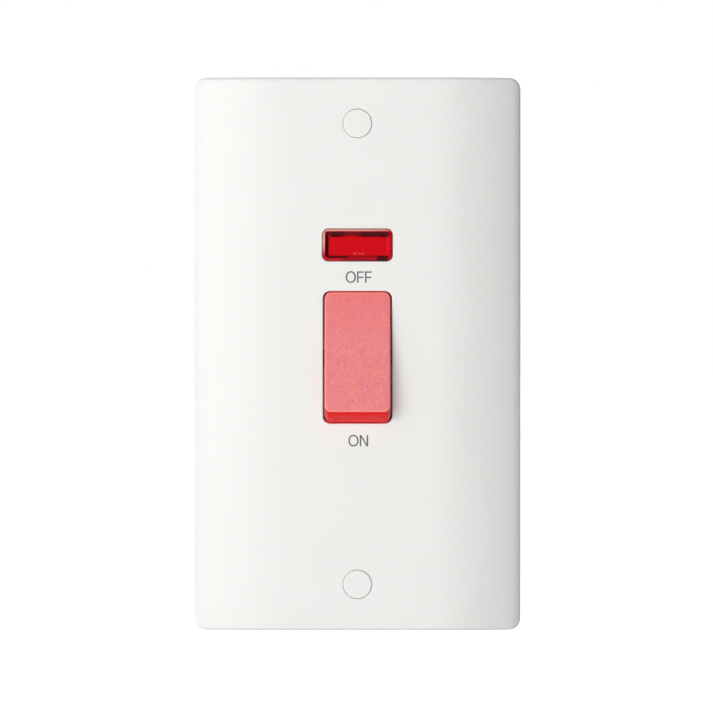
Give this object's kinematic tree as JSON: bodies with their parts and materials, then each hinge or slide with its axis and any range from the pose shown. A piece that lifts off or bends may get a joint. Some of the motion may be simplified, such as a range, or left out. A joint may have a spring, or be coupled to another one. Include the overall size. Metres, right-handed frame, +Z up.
{
  "type": "double pole switch",
  "caption": "Tall round-cornered wall plate with a red rocker, a red indicator window and capped fixing screws; a terminal block behind switches live and neutral together.",
  "frame": {"origin": "middle of the plate's back plane, on the wall's surface, midway between the fixing screws", "axes": "+X to the right as seen from the front, +Y into the wall, +Z up"},
  "size_m": [0.0864, 0.0417, 0.146],
  "materials": {
    "white_plastic": "smooth satin urea moulding",
    "red_plastic": "fine matt grain",
    "red_lens": "clear red, polished",
    "base_plastic": "matt moulding",
    "plunger_plastic": "natural nylon",
    "lead_sleeve": "soft sleeve",
    "resistor_body": "lacquered",
    "lamp_glass": "clear",
    "brass": "machined",
    "copper_strip": "stamped copper",
    "silver": "silver contact",
    "nickel": "drawn wire",
    "spring_steel": "drawn wire",
    "zinc_steel": "zinc plated"
  },
  "bodies": {
    "plate": {"front_plate": "white_plastic", "switch_base": "base_plastic", "base_screws": "zinc_steel", "fixing_screw_upper": "zinc_steel", "fixing_screw_lower": "zinc_steel", "earth_terminal": "brass", "neon_lens": "red_lens", "neon_carrier": "white_plastic", "neon_bulb": "lamp_glass", "neon_electrodes": "nickel", "neon_resistor": "resistor_body", "neon_leads": "lead_sleeve", "neutral_fixed_tip": "silver", "neutral_load_strip": "copper_strip", "neutral_feed_strip": "copper_strip", "neutral_line_terminal": "brass", "neutral_load_terminal": "brass", "live_fixed_tip": "silver", "live_load_strip": "copper_strip", "live_feed_strip": "copper_strip", "live_line_terminal": "brass", "live_load_terminal": "brass"},
    "rocker": {"rocker": "red_plastic", "live_spring": "spring_steel", "neutral_spring": "spring_steel"},
    "cap_upper": {"screw_cap_upper": "white_plastic"},
    "cap_lower": {"screw_cap_lower": "white_plastic"},
    "earth_screw_left": {"earth_screw_left": "zinc_steel"},
    "earth_screw_right": {"earth_screw_right": "zinc_steel"},
    "neutral_plunger": {"neutral_plunger": "plunger_plastic"},
    "neutral_arm": {"neutral_contact_arm": "copper_strip", "neutral_moving_tip": "silver"},
    "neutral_line_screw": {"neutral_line_screw": "zinc_steel"},
    "neutral_load_screw": {"neutral_load_screw": "zinc_steel"},
    "live_plunger": {"live_plunger": "plunger_plastic"},
    "live_arm": {"live_contact_arm": "copper_strip", "live_moving_tip": "silver"},
    "live_line_screw": {"live_line_screw": "zinc_steel"},
    "live_load_screw": {"live_load_screw": "zinc_steel"}
  },
  "joints": [
    {"name": "rocker_tilt", "type": "hinge", "parent": "plate", "child": "rocker", "pos_m": [0, -0.0035, -0.0009], "axis": [1, 0, 0], "range_deg": [0, 18.4]},
    {"name": "neutral_plunger_slide", "type": "slide", "parent": "rocker", "child": "neutral_plunger", "axis": [0, -0.9871, 0.1599], "range_m": [0, 0.0015], "stiffness_N_per_m": 150, "springref_m": -0.003, "deforming": ["neutral_spring"]},
    {"name": "neutral_arm_tilt", "type": "hinge", "parent": "plate", "child": "neutral_arm", "pos_m": [-0.0045, 0.01006, -0.0009], "axis": [1, 0, 0], "range_deg": [-13.21, 0]},
    {"name": "neutral_line_screw_in", "type": "slide", "parent": "plate", "child": "neutral_line_screw", "axis": [0, -1, 0], "range_m": [0, 0.0051]},
    {"name": "neutral_load_screw_in", "type": "slide", "parent": "plate", "child": "neutral_load_screw", "axis": [0, -1, 0], "range_m": [0, 0.0051]},
    {"name": "live_plunger_slide", "type": "slide", "parent": "rocker", "child": "live_plunger", "axis": [0, -0.9871, 0.1599], "range_m": [0, 0.0015], "stiffness_N_per_m": 150, "springref_m": -0.003, "deforming": ["live_spring"]},
    {"name": "live_arm_tilt", "type": "hinge", "parent": "plate", "child": "live_arm", "pos_m": [0.0045, 0.01006, -0.0009], "axis": [1, 0, 0], "range_deg": [-13.21, 0]},
    {"name": "live_line_screw_in", "type": "slide", "parent": "plate", "child": "live_line_screw", "axis": [0, -1, 0], "range_m": [0, 0.0051]},
    {"name": "live_load_screw_in", "type": "slide", "parent": "plate", "child": "live_load_screw", "axis": [0, -1, 0], "range_m": [0, 0.0051]},
    {"name": "earth_screw_left_in", "type": "slide", "parent": "plate", "child": "earth_screw_left", "axis": [0, -1, 0], "range_m": [0, 0.0037]},
    {"name": "earth_screw_right_in", "type": "slide", "parent": "plate", "child": "earth_screw_right", "axis": [0, -1, 0], "range_m": [0, 0.0037]},
    {"name": "cap_upper_pull", "type": "slide", "parent": "plate", "child": "cap_upper", "axis": [0, -1, 0], "range_m": [0, 0.012]},
    {"name": "cap_lower_pull", "type": "slide", "parent": "plate", "child": "cap_lower", "axis": [0, -1, 0], "range_m": [0, 0.012]}
  ],
  "couplings": [
    {"joint": "neutral_arm_tilt", "follows": "rocker_tilt", "ratio": -0.71739},
    {"joint": "live_arm_tilt", "follows": "rocker_tilt", "ratio": -0.71739}
  ]
}
